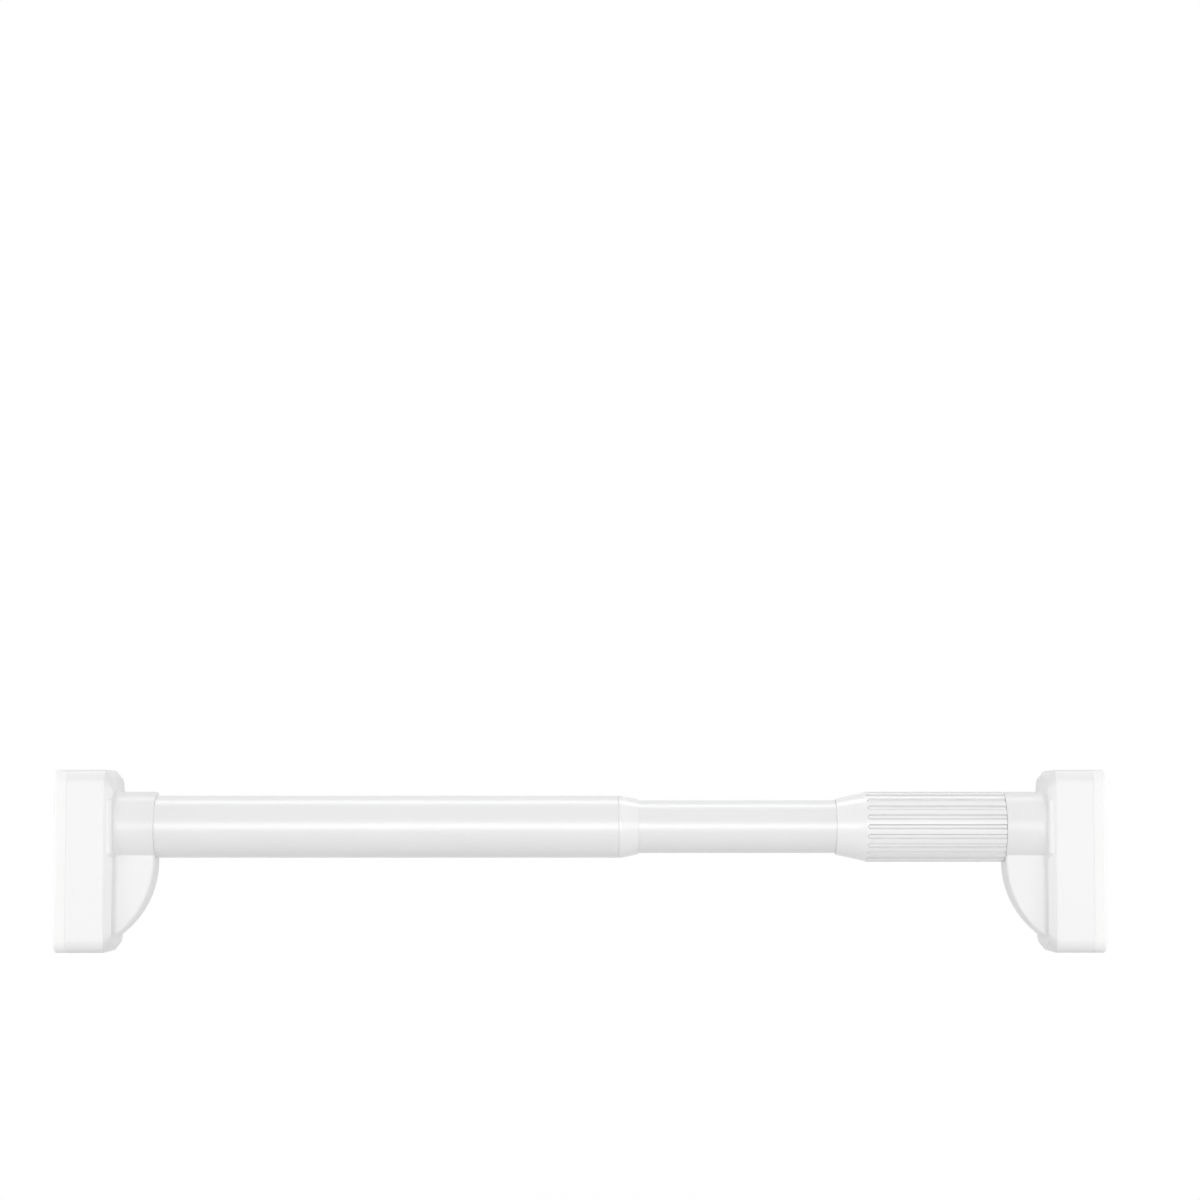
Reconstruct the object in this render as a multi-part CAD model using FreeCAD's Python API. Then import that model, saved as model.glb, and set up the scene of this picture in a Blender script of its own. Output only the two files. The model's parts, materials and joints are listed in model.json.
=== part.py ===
import FreeCAD
import Part
import math
import os

# Spring tension rod: two telescopic steel tubes between a pair of gusseted wall feet.
# A twist lock sets the length, a ribbed grip jacks the right foot out, and a spring keeps the pressure.
# Frame: the rod's axis is X, +Z is up and X = 0 is the wall face of the left foot. All sizes are in mm.

# Foot outline, seen along the rod
foot_half_width = 25.0
foot_top = 29.0
foot_bottom = 64.0
foot_corner_radius = 6.5

# Foot depths, from the wall towards the rod
pad_thickness = 6.5
shell_depth = 19.1
plate_land = 0.3
plate_chamfer = 3.6
socket_length = 20.0

# Elastomer pad
pad_edge_radius = 1.8
seam_round = 0.25
pad_plug_depth = 2.0
pad_tread_pitch = 9.0
pad_tread_width = 1.6
pad_tread_depth = 0.8
pad_tread_margin = 5.0

# Moulded shell behind the bracket
shell_wall = 2.5
shell_web = 2.5
shell_rib = 1.8
shell_rib_spacing = 16.0
shell_ring_radius = 18.6
shell_cross_ribs = 3
mould_clearance = 0.15

# Bracket: chamfered plate, round boss, socket and gusset
plate_inset = 0.3
plate_chamfer_inset = 4.0
plate_edge_round = 0.3
boss_radius = 27.2
boss_side_inset = 1.4
boss_edge_round = 1.8
socket_radius = 18.0
socket_rim_fillet = 0.5
gusset_half_thickness = 10.4
gusset_drop = 38.4
gusset_wall = 2.5
gusset_edge_fillet = 1.4
root_fillet = 1.8
socket_floor = 3.0

# Screws that join the shell to the bracket, from the wall side
screw_side_inset = 9.0
screw_top_inset = 8.6
screw_bottom_inset = 9.0
screw_radius = 1.75
screw_head_radius = 5.2
screw_head_height = 2.2
screw_recess_length = 4.4
screw_recess_width = 1.0
screw_recess_depth = 1.2
screw_depth = 5.0
screw_boss_radius = 4.0
thread_clearance = 0.05

# Telescopic tubes
outer_tube_radius = 16.0
outer_tube_wall = 0.9
outer_tube_length = 255.0
tube_insertion = 17.0
tube_end_round = 0.4
inner_tube_radius = 13.6
inner_tube_wall = 0.9
inner_tube_length = 258.0
inner_tube_shown = 101.7
inner_tube_in_grip = 36.8
fit_clearance = 0.05
slide_clearance = 0.1

# Plug and screw that hold the outer tube in the left socket
end_plug_length = 14.0
plug_screw_radius = 2.5
plug_screw_length = 14.0
plug_screw_head_radius = 4.6
plug_screw_head_height = 3.2
plug_screw_drive = 4.0
plug_screw_drive_depth = 2.0
plug_washer_radius = 7.5
plug_washer_thickness = 1.0

# Collar at the open end of the outer tube
collar_length = 10.0
collar_land = 1.6
collar_nose_radius = 14.2
collar_nose_round = 0.3
collar_shoulder_round = 6.0
collar_sleeve = 15.0

# Twist lock at the inner end of the inner tube
lock_flange = 4.0
lock_plug_length = 14.0
lock_screw_radius = 4.0
lock_head_across_flats = 13.0
lock_head_height = 5.0
lock_collet_length = 26.0
lock_collet_hub = 7.8
lock_collet_tip_wall = 2.2
lock_taper = 9.0
lock_slot_count = 4
lock_slot_width = 2.6
lock_cone_length = 14.0
lock_cone_setback = 0.7
lock_cone_travel = 2.5
lock_clip_thickness = 1.5
lock_clip_radius = 7.0
lock_turn_gap = 0.3

# Pressure spring and its seats
spring_length = 40.0
spring_mean_radius = 9.4
spring_wire_radius = 1.2
spring_turns = 6.0
spring_wire_sides = 8
spring_seat_length = 10.0
spring_pilot_length = 8.0
spring_pilot_clearance = 0.6

# Jack spindle, its guide and its nut
spindle_radius = 7.0
spindle_flats = 12.0
spindle_head_length = 8.0
buffer_thickness = 1.5
guide_length = 26.0
guide_flange = 2.0
nut_length = 12.0
nut_across_flats = 22.0
jack_travel = 20.0
spring_travel = 10.0
stroke_margin = 0.5

# Ribbed grip
grip_radius = 18.0
grip_lip_radius = 14.6
grip_lip_round = 0.5
grip_cone_length = 14.9
grip_cone_radius = 17.75
grip_ribbed_length = 71.7
grip_lip_clearance = 0.3
flute_count = 22
flute_width = 2.6
flute_depth = 1.1
flute_start = 0.5
grip_bore_clearance = 1.0

# Swivel between the grip and the right foot
swivel_gap = 0.2
spigot_radius = 13.9
neck_radius = 11.0
swivel_depth = 16.5
swivel_web = 5.5
thrust_washer_thickness = 0.9
ring_thickness = 1.1
ring_groove_depth = 1.2
ring_height = 2.6
ring_gap = 0.2
neck_tail = 1.3

# Stations along the rod that follow from the lengths above
x_plate = pad_thickness + shell_depth
plate_depth = plate_land + plate_chamfer
x_face = x_plate + plate_depth
x_socket_end = x_face + socket_length
x_outer_start = x_socket_end - tube_insertion
x_outer_end = x_outer_start + outer_tube_length
x_collar_end = x_outer_end + collar_length
x_lip = x_collar_end + inner_tube_shown
x_cone_end = x_lip + grip_cone_length
x_grip_end = x_cone_end + grip_ribbed_length
x_swivel = x_grip_end + swivel_gap
rod_length = x_swivel + x_socket_end
x_inner_end = x_lip + inner_tube_in_grip
x_inner_start = x_inner_end - inner_tube_length
x_guide_start = x_inner_end - guide_length
x_head_end = x_guide_start - buffer_thickness
x_head_start = x_head_end - spindle_head_length
x_spring_start = x_head_start - spring_length
x_nut_start = x_inner_end + guide_flange + spring_travel + stroke_margin
x_nut_end = x_nut_start + nut_length
x_spindle_end = x_nut_end + jack_travel + stroke_margin
x_swivel_web = x_swivel + swivel_depth
x_swivel_back = x_swivel_web + swivel_web
x_flange_start = x_inner_start - lock_flange
x_collet_end = x_flange_start - lock_turn_gap
x_collet_start = x_collet_end - lock_collet_length
x_lock_cone = x_collet_start + lock_cone_setback
x_clip_end = x_lock_cone - lock_cone_travel - stroke_margin
x_clip_start = x_clip_end - lock_clip_thickness

# Radii that follow from the tubes
outer_bore_radius = outer_tube_radius - outer_tube_wall
inner_bore_radius = inner_tube_radius - inner_tube_wall
guide_plug_radius = inner_bore_radius - fit_clearance
outer_plug_radius = outer_bore_radius - fit_clearance
swivel_bore_radius = spigot_radius + slide_clearance

AXIS = FreeCAD.Vector(1, 0, 0)
HALF_TURN = math.pi
CUT_MARGIN = 1.0


def rod(x_from, x_to, radius):
    """Solid cylinder on the rod's axis."""
    return Part.makeCylinder(radius, x_to - x_from, FreeCAD.Vector(x_from, 0, 0), AXIS)


def tube(x_from, x_to, radius, bore):
    """Hollow cylinder on the rod's axis."""
    return rod(x_from, x_to, radius).cut(rod(x_from - CUT_MARGIN, x_to + CUT_MARGIN, bore))


def pin(x_from, x_to, y, z, radius):
    """Solid cylinder beside the rod's axis and parallel to it."""
    return Part.makeCylinder(radius, x_to - x_from, FreeCAD.Vector(x_from, y, z), AXIS)


def turned(profile):
    """Solid of revolution about the rod's axis from (x, radius) corners."""
    corners = [FreeCAD.Vector(x, 0, radius) for x, radius in profile]
    wire = Part.makePolygon(corners + corners[:1])
    return Part.Face(wire).revolve(FreeCAD.Vector(0, 0, 0), AXIS, 360)


def hexagon(x_from, x_to, across_flats):
    """Hexagonal prism on the rod's axis."""
    radius = across_flats / 2 / math.cos(HALF_TURN / 6)
    corners = []
    for i in range(7):
        angle = i * HALF_TURN / 3
        corners.append(FreeCAD.Vector(x_from, radius * math.cos(angle), radius * math.sin(angle)))
    return Part.Face(Part.makePolygon(corners)).extrude(AXIS * (x_to - x_from))


def outline(x, inset, corner):
    """The foot's rounded rectangle at one station, drawn in from its full outline by an inset."""
    y = foot_half_width - inset
    top = foot_top - inset
    low = inset - foot_bottom
    bulge = corner * (1 - math.sqrt(0.5))

    def at(across, up):
        return FreeCAD.Vector(x, across, up)

    edges = [
        Part.makeLine(at(-y + corner, top), at(y - corner, top)),
        Part.Arc(at(y - corner, top), at(y - bulge, top - bulge), at(y, top - corner)).toShape(),
        Part.makeLine(at(y, top - corner), at(y, low + corner)),
        Part.Arc(at(y, low + corner), at(y - bulge, low + bulge), at(y - corner, low)).toShape(),
        Part.makeLine(at(y - corner, low), at(-y + corner, low)),
        Part.Arc(at(-y + corner, low), at(-y + bulge, low + bulge), at(-y, low + corner)).toShape(),
        Part.makeLine(at(-y, low + corner), at(-y, top - corner)),
        Part.Arc(at(-y, top - corner), at(-y + bulge, top - bulge), at(-y + corner, top)).toShape(),
    ]
    return Part.Wire(edges)


def slab(x_from, x_to, inset, corner):
    """Slice of the foot between two stations."""
    return Part.Face(outline(x_from, inset, corner)).extrude(AXIS * (x_to - x_from))


def block(x_from, x_to, y_from, y_to, z_from, z_to):
    """Rectangular block between two corners."""
    corner = FreeCAD.Vector(x_from, y_from, z_from)
    return Part.makeBox(x_to - x_from, y_to - y_from, z_to - z_from, corner)


def edges_between(shape, x_from, x_to):
    """Edges that lie wholly between two stations."""
    near = fit_clearance
    return [e for e in shape.Edges if e.BoundBox.XMin > x_from - near and e.BoundBox.XMax < x_to + near]


def round_ring(shape, x, radius, fillet):
    """Rounds the circular edge of one radius at one station."""
    chosen = []
    for edge in edges_between(shape, x, x):
        if isinstance(edge.Curve, Part.Circle) and abs(edge.Curve.Radius - radius) < fit_clearance:
            chosen.append(edge)
    return shape.makeFillet(fillet, chosen)


def group(solids):
    """Separate solids that share one node."""
    return Part.makeCompound(solids)


def mirrored(shape):
    """The same piece on the right-hand foot."""
    return shape.mirror(FreeCAD.Vector(rod_length / 2, 0, 0), AXIS)


def screw_places():
    """Centres of the four screws that hold a shell to its bracket, as (y, z)."""
    rows = (foot_top - screw_top_inset, screw_bottom_inset - foot_bottom)
    column = foot_half_width - screw_side_inset
    return [(side * column, z) for z in rows for side in (-1, 1)]


def make_pad():
    """Elastomer pad: rounded slab, treaded on the wall side, with a shallow plug for the shell's mouth."""
    body = slab(0, pad_thickness, 0, foot_corner_radius)
    body = body.makeFillet(pad_edge_radius, edges_between(body, 0, 0))
    body = body.makeFillet(seam_round, edges_between(body, pad_thickness, pad_thickness))
    plug_inset = shell_wall + mould_clearance
    plug = slab(pad_thickness, pad_thickness + pad_plug_depth, plug_inset, foot_corner_radius - shell_wall)
    return body.fuse(plug).cut(group(make_tread()))


def make_tread():
    """Round-ended grooves across the pad's wall face, spaced evenly to both sides of the rod's axis."""
    half = pad_tread_width / 2
    reach = foot_half_width - pad_tread_margin - half
    rows_below = int((foot_bottom - pad_tread_margin) / pad_tread_pitch)
    rows_above = int((foot_top - pad_tread_margin) / pad_tread_pitch)
    grooves = []
    for i in range(-rows_below, rows_above):
        z = (i + 0.5) * pad_tread_pitch
        groove = block(-CUT_MARGIN, pad_tread_depth, -reach, reach, z - half, z + half)
        for side in (-1, 1):
            groove = groove.fuse(pin(-CUT_MARGIN, pad_tread_depth, side * reach, z, half))
        grooves.append(groove)
    return grooves


def make_shell():
    """Moulded shell between pad and bracket: side walls, a web with openings, and stiffening ribs."""
    x_web = x_plate - shell_web
    x_rib = pad_thickness + pad_plug_depth + fit_clearance
    body = slab(pad_thickness, x_plate, 0, foot_corner_radius)
    seams = edges_between(body, pad_thickness, pad_thickness) + edges_between(body, x_plate, x_plate)
    body = body.makeFillet(seam_round, seams)
    inside = slab(pad_thickness - CUT_MARGIN, x_web, shell_wall, foot_corner_radius - shell_wall)
    ribs = make_shell_ribs(x_rib, x_web).common(inside)
    shell = body.cut(inside).fuse(ribs)
    shell = shell.cut(rod(x_web - CUT_MARGIN, x_plate + CUT_MARGIN, shell_ring_radius - shell_rib))
    hole = screw_boss_radius + mould_clearance
    for y, z in screw_places():
        shell = shell.cut(pin(x_web - CUT_MARGIN, x_plate + CUT_MARGIN, y, z, hole))
    return shell.removeSplitter()


def make_shell_ribs(x_from, x_to):
    """Ring round the tube's end, with ribs from it to the walls and cross ribs below."""
    bore = shell_ring_radius - shell_rib
    half = shell_rib / 2
    far = foot_bottom
    ribs = block(x_from, x_to, -half, half, 0, far)
    for side in (-1, 1):
        y = side * shell_rib_spacing / 2
        ribs = ribs.fuse(block(x_from, x_to, y - half, y + half, -far, 0))
    pitch = (foot_bottom - shell_ring_radius) / (shell_cross_ribs + 1)
    for i in range(shell_cross_ribs):
        z = -shell_ring_radius - (i + 0.5) * pitch
        ribs = ribs.fuse(block(x_from, x_to, -foot_half_width, foot_half_width, z - half, z + half))
    room = screw_head_radius + 2 * mould_clearance
    for y, z in screw_places():
        ribs = ribs.cut(pin(x_from - CUT_MARGIN, x_to + CUT_MARGIN, y, z, room))
    ribs = ribs.fuse(rod(x_from, x_to, shell_ring_radius))
    return ribs.cut(rod(x_from - CUT_MARGIN, x_to + CUT_MARGIN, bore))


def make_gusset(x_from, inset):
    """Quarter-moon web under the socket, tangent to the socket's end, drawn in by an inset."""
    reach = socket_length - inset
    top = -socket_radius
    radius = (socket_length**2 + gusset_drop**2) / (2 * socket_length)
    x_centre = x_socket_end - radius
    low = top - math.sqrt((radius - inset) ** 2 - (x_from - x_centre) ** 2)
    half_angle = math.atan2(top - low, x_from - x_centre) / 2
    rim = radius - inset
    x_middle = x_centre + rim * math.cos(half_angle)
    z_middle = top - rim * math.sin(half_angle)
    y = inset - gusset_half_thickness
    start = FreeCAD.Vector(x_face + reach, y, top)
    middle = FreeCAD.Vector(x_middle, y, z_middle)
    end = FreeCAD.Vector(x_from, y, low)
    inner = FreeCAD.Vector(x_from, y, 0)
    outer = FreeCAD.Vector(x_face + reach, y, 0)
    arc = Part.Arc(start, middle, end).toShape()
    sides = [Part.makeLine(end, inner), Part.makeLine(inner, outer), Part.makeLine(outer, start)]
    face = Part.Face(Part.Wire([arc] + sides))
    return face.extrude(FreeCAD.Vector(0, -2 * y, 0))


def make_bracket_blank():
    """Chamfered plate with its round boss, socket and cored gusset, before the socket is bored."""
    x_chamfer = x_plate + plate_land
    land = slab(x_plate, x_chamfer, plate_inset, foot_corner_radius)
    wide = outline(x_chamfer, plate_inset, foot_corner_radius)
    narrow = outline(x_face, plate_inset + plate_chamfer_inset, foot_corner_radius)
    bevel = Part.makeLoft([wide, narrow], True, True)
    bevel = bevel.makeFillet(plate_edge_round, edges_between(bevel, x_face, x_face))
    boss = rod(x_plate, x_face, boss_radius).common(slab(x_plate, x_face, boss_side_inset, foot_corner_radius))
    boss = boss.makeFillet(boss_edge_round, edges_between(boss, x_face, x_face))
    plate = land.fuse(bevel).fuse(boss)
    gusset = make_gusset(x_plate + plate_land, 0)
    curved = [e for e in gusset.Edges if isinstance(e.Curve, Part.Circle)]
    gusset = gusset.makeFillet(gusset_edge_fillet, curved)
    socket = rod(x_plate, x_socket_end, socket_radius)
    socket = round_ring(socket, x_socket_end, socket_radius, socket_rim_fillet)
    blank = plate.fuse(socket.fuse(gusset)).removeSplitter()
    blank = blank.makeFillet(root_fillet, root_edges(blank))
    core = make_gusset(x_plate - CUT_MARGIN, gusset_wall)
    return blank.cut(core.cut(rod(0, rod_length, socket_radius)))


def root_edges(blank):
    """Edges where the socket and the gusset's flanks meet the plate's face."""
    chosen = []
    for edge in blank.Edges:
        box = edge.BoundBox
        on_face = abs(box.XMin - x_face) < fit_clearance and abs(box.XMax - x_face) < fit_clearance
        along_root = max(abs(box.YMin), abs(box.YMax)) < socket_radius + fit_clearance
        if on_face and along_root and box.ZLength > gusset_half_thickness:
            chosen.append(edge)
    return chosen


def add_screw_bosses(bracket):
    """Four bosses that pass through the shell's web, with blind holes for the screws."""
    for y, z in screw_places():
        bracket = bracket.fuse(pin(x_plate - shell_web, x_plate + plate_land, y, z, screw_boss_radius))
    x_mouth = x_plate - shell_web
    x_tip = x_mouth + screw_depth + stroke_margin
    for y, z in screw_places():
        bracket = bracket.cut(pin(x_mouth - CUT_MARGIN, x_tip, y, z, screw_radius + thread_clearance))
    return bracket


def make_left_bracket():
    """Bracket whose socket holds the outer tube against a floor."""
    bracket = add_screw_bosses(make_bracket_blank())
    x_floor = x_outer_start - socket_floor
    hole = plug_screw_radius + slide_clearance
    pocket = plug_washer_radius + 2 * stroke_margin
    bracket = bracket.cut(rod(x_outer_start, x_socket_end + CUT_MARGIN, outer_tube_radius + fit_clearance))
    bracket = bracket.cut(rod(x_plate - CUT_MARGIN, x_floor, pocket))
    return bracket.cut(rod(x_floor - CUT_MARGIN, x_outer_start + CUT_MARGIN, hole))


def make_right_bracket():
    """Bracket whose socket is the bearing of the grip's spigot, drawn on the left like every foot piece."""
    bracket = add_screw_bosses(make_bracket_blank())
    x_web = x_socket_end - swivel_depth
    x_back = x_web - swivel_web
    pocket = neck_radius + ring_height + 2 * stroke_margin
    bracket = bracket.cut(rod(x_web, x_socket_end + CUT_MARGIN, swivel_bore_radius))
    bracket = bracket.cut(rod(x_back - CUT_MARGIN, x_web + CUT_MARGIN, neck_radius + slide_clearance))
    return bracket.cut(rod(x_plate - CUT_MARGIN, x_back, pocket))


def make_screws():
    """Four self-tapping screws with wide heads and a cross recess."""
    x_head = x_plate - shell_web
    x_top = x_head - screw_head_height
    x_above = x_top - CUT_MARGIN
    x_recess = x_top + screw_recess_depth
    long = screw_recess_length / 2
    short = screw_recess_width / 2
    screws = []
    for y, z in screw_places():
        screw = pin(x_top, x_head, y, z, screw_head_radius)
        screw = screw.fuse(pin(x_head, x_head + screw_depth, y, z, screw_radius))
        across = block(x_above, x_recess, y - long, y + long, z - short, z + short)
        upright = block(x_above, x_recess, y - short, y + short, z - long, z + long)
        screws.append(screw.cut(across.fuse(upright)))
    return group(screws)


def make_outer_tube():
    """Steel tube held in the left socket, with its open end dressed round."""
    body = tube(x_outer_start, x_outer_end, outer_tube_radius, outer_bore_radius)
    return round_ring(body, x_outer_end, outer_tube_radius, tube_end_round)


def make_end_plug():
    """Plug pressed into the outer tube's hidden end."""
    x_end = x_outer_start + end_plug_length
    return tube(x_outer_start, x_end, outer_plug_radius, plug_screw_radius + thread_clearance)


def make_plug_screw():
    """Screw from the wall side through the socket's floor into the plug."""
    x_head = x_outer_start - socket_floor - plug_washer_thickness
    screw = rod(x_head, x_head + plug_screw_length, plug_screw_radius)
    head = rod(x_head - plug_screw_head_height, x_head, plug_screw_head_radius)
    x_top = x_head - plug_screw_head_height
    drive = hexagon(x_top - CUT_MARGIN, x_top + plug_screw_drive_depth, plug_screw_drive)
    return screw.fuse(head).cut(drive)


def make_plug_washer():
    """Washer under the plug screw's head."""
    x_floor = x_outer_start - socket_floor
    bore = plug_screw_radius + slide_clearance
    return tube(x_floor - plug_washer_thickness, x_floor, plug_washer_radius, bore)


def make_collar():
    """Tapered collar with a sleeve inside the outer tube, which guides the inner tube."""
    bore = inner_tube_radius + slide_clearance
    sleeve = x_outer_end - collar_sleeve
    x_shoulder = x_outer_end + collar_land
    profile = [
        (sleeve, bore),
        (sleeve, outer_plug_radius),
        (x_outer_end, outer_plug_radius),
        (x_outer_end, outer_tube_radius),
        (x_shoulder, outer_tube_radius),
        (x_collar_end, collar_nose_radius),
        (x_collar_end, bore),
    ]
    collar = round_ring(turned(profile), x_shoulder, outer_tube_radius, collar_shoulder_round)
    return round_ring(collar, x_collar_end, collar_nose_radius, collar_nose_round)


def make_inner_tube():
    """Steel tube that slides in the outer one."""
    return tube(x_inner_start, x_inner_end, inner_tube_radius, inner_bore_radius)


def make_lock_plug():
    """Plug in the inner tube's end, with a guide flange and a seat for the lock screw's head."""
    x_end = x_inner_start + lock_plug_length
    x_seat = x_end - lock_head_height - stroke_margin
    plug = rod(x_flange_start, x_inner_start, outer_bore_radius - slide_clearance)
    plug = plug.fuse(rod(x_inner_start, x_end, guide_plug_radius))
    plug = plug.cut(rod(x_flange_start - CUT_MARGIN, x_end, lock_screw_radius + fit_clearance))
    return plug.cut(hexagon(x_seat, x_end + CUT_MARGIN, lock_head_across_flats + 2 * fit_clearance))


def make_lock_screw():
    """Screw whose hexagon head is held in the plug and whose shank carries the cone."""
    x_seat = x_inner_start + lock_plug_length - lock_head_height - stroke_margin
    shank = rod(x_clip_start - stroke_margin, x_seat, lock_screw_radius)
    return shank.fuse(hexagon(x_seat, x_seat + lock_head_height, lock_head_across_flats))


def taper_radius(x, tip_radius):
    """Radius of the lock's cone at a station, narrowing towards the inner tube."""
    return tip_radius - (x - x_collet_start) * math.tan(math.radians(lock_taper))


def make_lock_collet():
    """Split sleeve that the cone spreads against the outer tube's bore."""
    radius = outer_bore_radius - fit_clearance
    mouth = radius - lock_collet_tip_wall
    x_hub = x_collet_end - lock_collet_hub
    collet = rod(x_collet_start, x_collet_end, radius)
    bore = [
        (x_collet_start - CUT_MARGIN, 0),
        (x_collet_start - CUT_MARGIN, taper_radius(x_collet_start - CUT_MARGIN, mouth)),
        (x_hub, taper_radius(x_hub, mouth)),
        (x_hub, 0),
    ]
    hub_bore = lock_screw_radius + 2 * stroke_margin
    collet = collet.cut(turned(bore))
    collet = collet.cut(rod(x_hub - CUT_MARGIN, x_collet_end + CUT_MARGIN, hub_bore))
    return collet.cut(lock_fins(x_collet_start - CUT_MARGIN, x_hub, lock_slot_width, outer_tube_radius))


def lock_fins(x_from, x_to, width, radius):
    """Radial bars that cut the collet's slots or key the cone in them."""
    bars = []
    for i in range(lock_slot_count):
        bar = block(x_from, x_to, -width / 2, width / 2, lock_screw_radius + CUT_MARGIN, radius)
        bar.rotate(FreeCAD.Vector(0, 0, 0), AXIS, 360 / lock_slot_count * i)
        bars.append(bar)
    return bars[0].fuse(bars[1:])


def make_lock_cone():
    """Cone nut on the lock screw, keyed in the collet's slots."""
    mouth = outer_bore_radius - fit_clearance - lock_collet_tip_wall - slide_clearance
    x_end = x_lock_cone + lock_cone_length
    key_radius = outer_bore_radius - lock_collet_tip_wall / 2
    profile = [
        (x_lock_cone, 0),
        (x_lock_cone, taper_radius(x_lock_cone, mouth)),
        (x_end, taper_radius(x_end, mouth)),
        (x_end, 0),
    ]
    keys = lock_fins(x_lock_cone, x_end, lock_slot_width - 4 * slide_clearance, key_radius)
    cone = turned(profile).fuse(keys)
    return cone.cut(rod(x_lock_cone - CUT_MARGIN, x_end + CUT_MARGIN, lock_screw_radius + fit_clearance))


def make_lock_clip():
    """Clip near the lock screw's tip that keeps the cone on it."""
    return tube(x_clip_start, x_clip_end, lock_clip_radius, lock_screw_radius + fit_clearance)


def make_spring_stop():
    """Plug fixed in the inner tube, with a pilot that centres the spring."""
    pilot = spring_mean_radius - spring_wire_radius - spring_pilot_clearance
    stop = rod(x_spring_start - spring_seat_length, x_spring_start, guide_plug_radius)
    return stop.fuse(rod(x_spring_start, x_spring_start + spring_pilot_length, pilot))


def make_pressure_spring():
    """Compression spring with its ends ground flat. Its wire is an octagon."""
    pitch = (spring_length - spring_wire_radius) / spring_turns
    coil = Part.makeHelix(pitch, pitch * spring_turns, spring_mean_radius)
    corners = []
    for i in range(spring_wire_sides + 1):
        angle = (i + 0.5) * 2 * HALF_TURN / spring_wire_sides
        radius = spring_mean_radius + spring_wire_radius * math.cos(angle)
        corners.append(FreeCAD.Vector(radius, 0, spring_wire_radius * math.sin(angle)))
    wire = Part.Wire(coil.Edges).makePipeShell([Part.makePolygon(corners)], True, True)
    wire.rotate(FreeCAD.Vector(0, 0, 0), FreeCAD.Vector(0, 1, 0), 90)
    wire.translate(FreeCAD.Vector(x_spring_start + spring_wire_radius / 2, 0, 0))
    room = spring_mean_radius + 2 * spring_wire_radius
    return wire.common(rod(x_spring_start, x_spring_start + spring_length, room))


def spindle_section(x_from, x_to, clearance):
    """Round bar with two flats, which can slide in its guide but not turn."""
    bar = rod(x_from, x_to, spindle_radius + clearance)
    half = spindle_flats / 2 + clearance
    reach = spindle_radius + CUT_MARGIN
    return bar.common(block(x_from, x_to, -half, half, -reach, reach))


def make_spindle():
    """Jack spindle: piston head with a spring pilot, and a flatted shank that the nut runs on."""
    pilot = spring_mean_radius - spring_wire_radius - spring_pilot_clearance
    spindle = rod(x_head_start, x_head_end, inner_bore_radius - slide_clearance)
    spindle = spindle.fuse(rod(x_head_start - spring_pilot_length, x_head_start, pilot))
    return spindle.fuse(spindle_section(x_head_end, x_spindle_end, 0))


def make_buffer():
    """Soft washer between the piston head and its guide."""
    return tube(x_head_end, x_guide_start, guide_plug_radius, spindle_radius + grip_bore_clearance)


def make_guide():
    """Flanged plug in the inner tube's outer end, with a flatted bore for the spindle."""
    x_end = x_inner_end + guide_flange
    guide = rod(x_guide_start, x_inner_end, guide_plug_radius)
    guide = guide.fuse(rod(x_inner_end, x_end, inner_tube_radius))
    return guide.cut(spindle_section(x_guide_start - CUT_MARGIN, x_end + CUT_MARGIN, slide_clearance))


def make_nut():
    """Hexagon nut held in the grip."""
    nut = hexagon(x_nut_start, x_nut_end, nut_across_flats)
    return nut.cut(rod(x_nut_start - CUT_MARGIN, x_nut_end + CUT_MARGIN, spindle_radius + fit_clearance))


def make_grip():
    """Grip moulded in one: lip, cone, fluted barrel, nut seat and swivel spigot."""
    bore = inner_tube_radius + grip_lip_clearance
    spigot_end = x_swivel_web - thrust_washer_thickness - slide_clearance
    neck_end = x_swivel_back + ring_gap + ring_thickness + neck_tail
    groove = x_swivel_back + ring_gap
    profile = [
        (x_lip, bore),
        (x_lip, grip_lip_radius),
        (x_cone_end, grip_cone_radius),
        (x_cone_end, grip_radius),
        (x_grip_end, grip_radius),
        (x_grip_end, spigot_radius),
        (spigot_end, spigot_radius),
        (spigot_end, neck_radius),
        (groove, neck_radius),
        (groove, neck_radius - ring_groove_depth),
        (groove + ring_thickness, neck_radius - ring_groove_depth),
        (groove + ring_thickness, neck_radius),
        (neck_end, neck_radius),
        (neck_end, spindle_radius + grip_bore_clearance),
        (x_nut_start, spindle_radius + grip_bore_clearance),
        (x_nut_start, bore),
    ]
    grip = round_ring(turned(profile), x_lip, grip_lip_radius, grip_lip_round)
    grip = grip.cut(hexagon(x_nut_start - CUT_MARGIN, x_nut_end, nut_across_flats + 2 * fit_clearance))
    return grip.cut(make_flutes())


def make_flutes():
    """Round-bottomed grooves along the barrel with a ball-shaped start, open at the end beside the foot."""
    radius = ((flute_width / 2) ** 2 + flute_depth**2) / (2 * flute_depth)
    z_middle = grip_radius - flute_depth + radius
    x_from = x_cone_end + flute_start + flute_width / 2
    flute = pin(x_from, x_grip_end + CUT_MARGIN, 0, z_middle, radius)
    flute = flute.fuse(Part.makeSphere(radius, FreeCAD.Vector(x_from, 0, z_middle))).removeSplitter()
    flutes = []
    for i in range(flute_count):
        copy = flute.copy()
        copy.rotate(FreeCAD.Vector(0, 0, 0), AXIS, 360 / flute_count * (i + 0.5))
        flutes.append(copy)
    return group(flutes)


def make_thrust_washer():
    """Low-friction washer between the spigot's shoulder and the bracket's web."""
    x_end = x_swivel_web - slide_clearance / 2
    x_start = x_end - thrust_washer_thickness
    return tube(x_start, x_end, spigot_radius - slide_clearance, neck_radius + 2 * slide_clearance)


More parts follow.
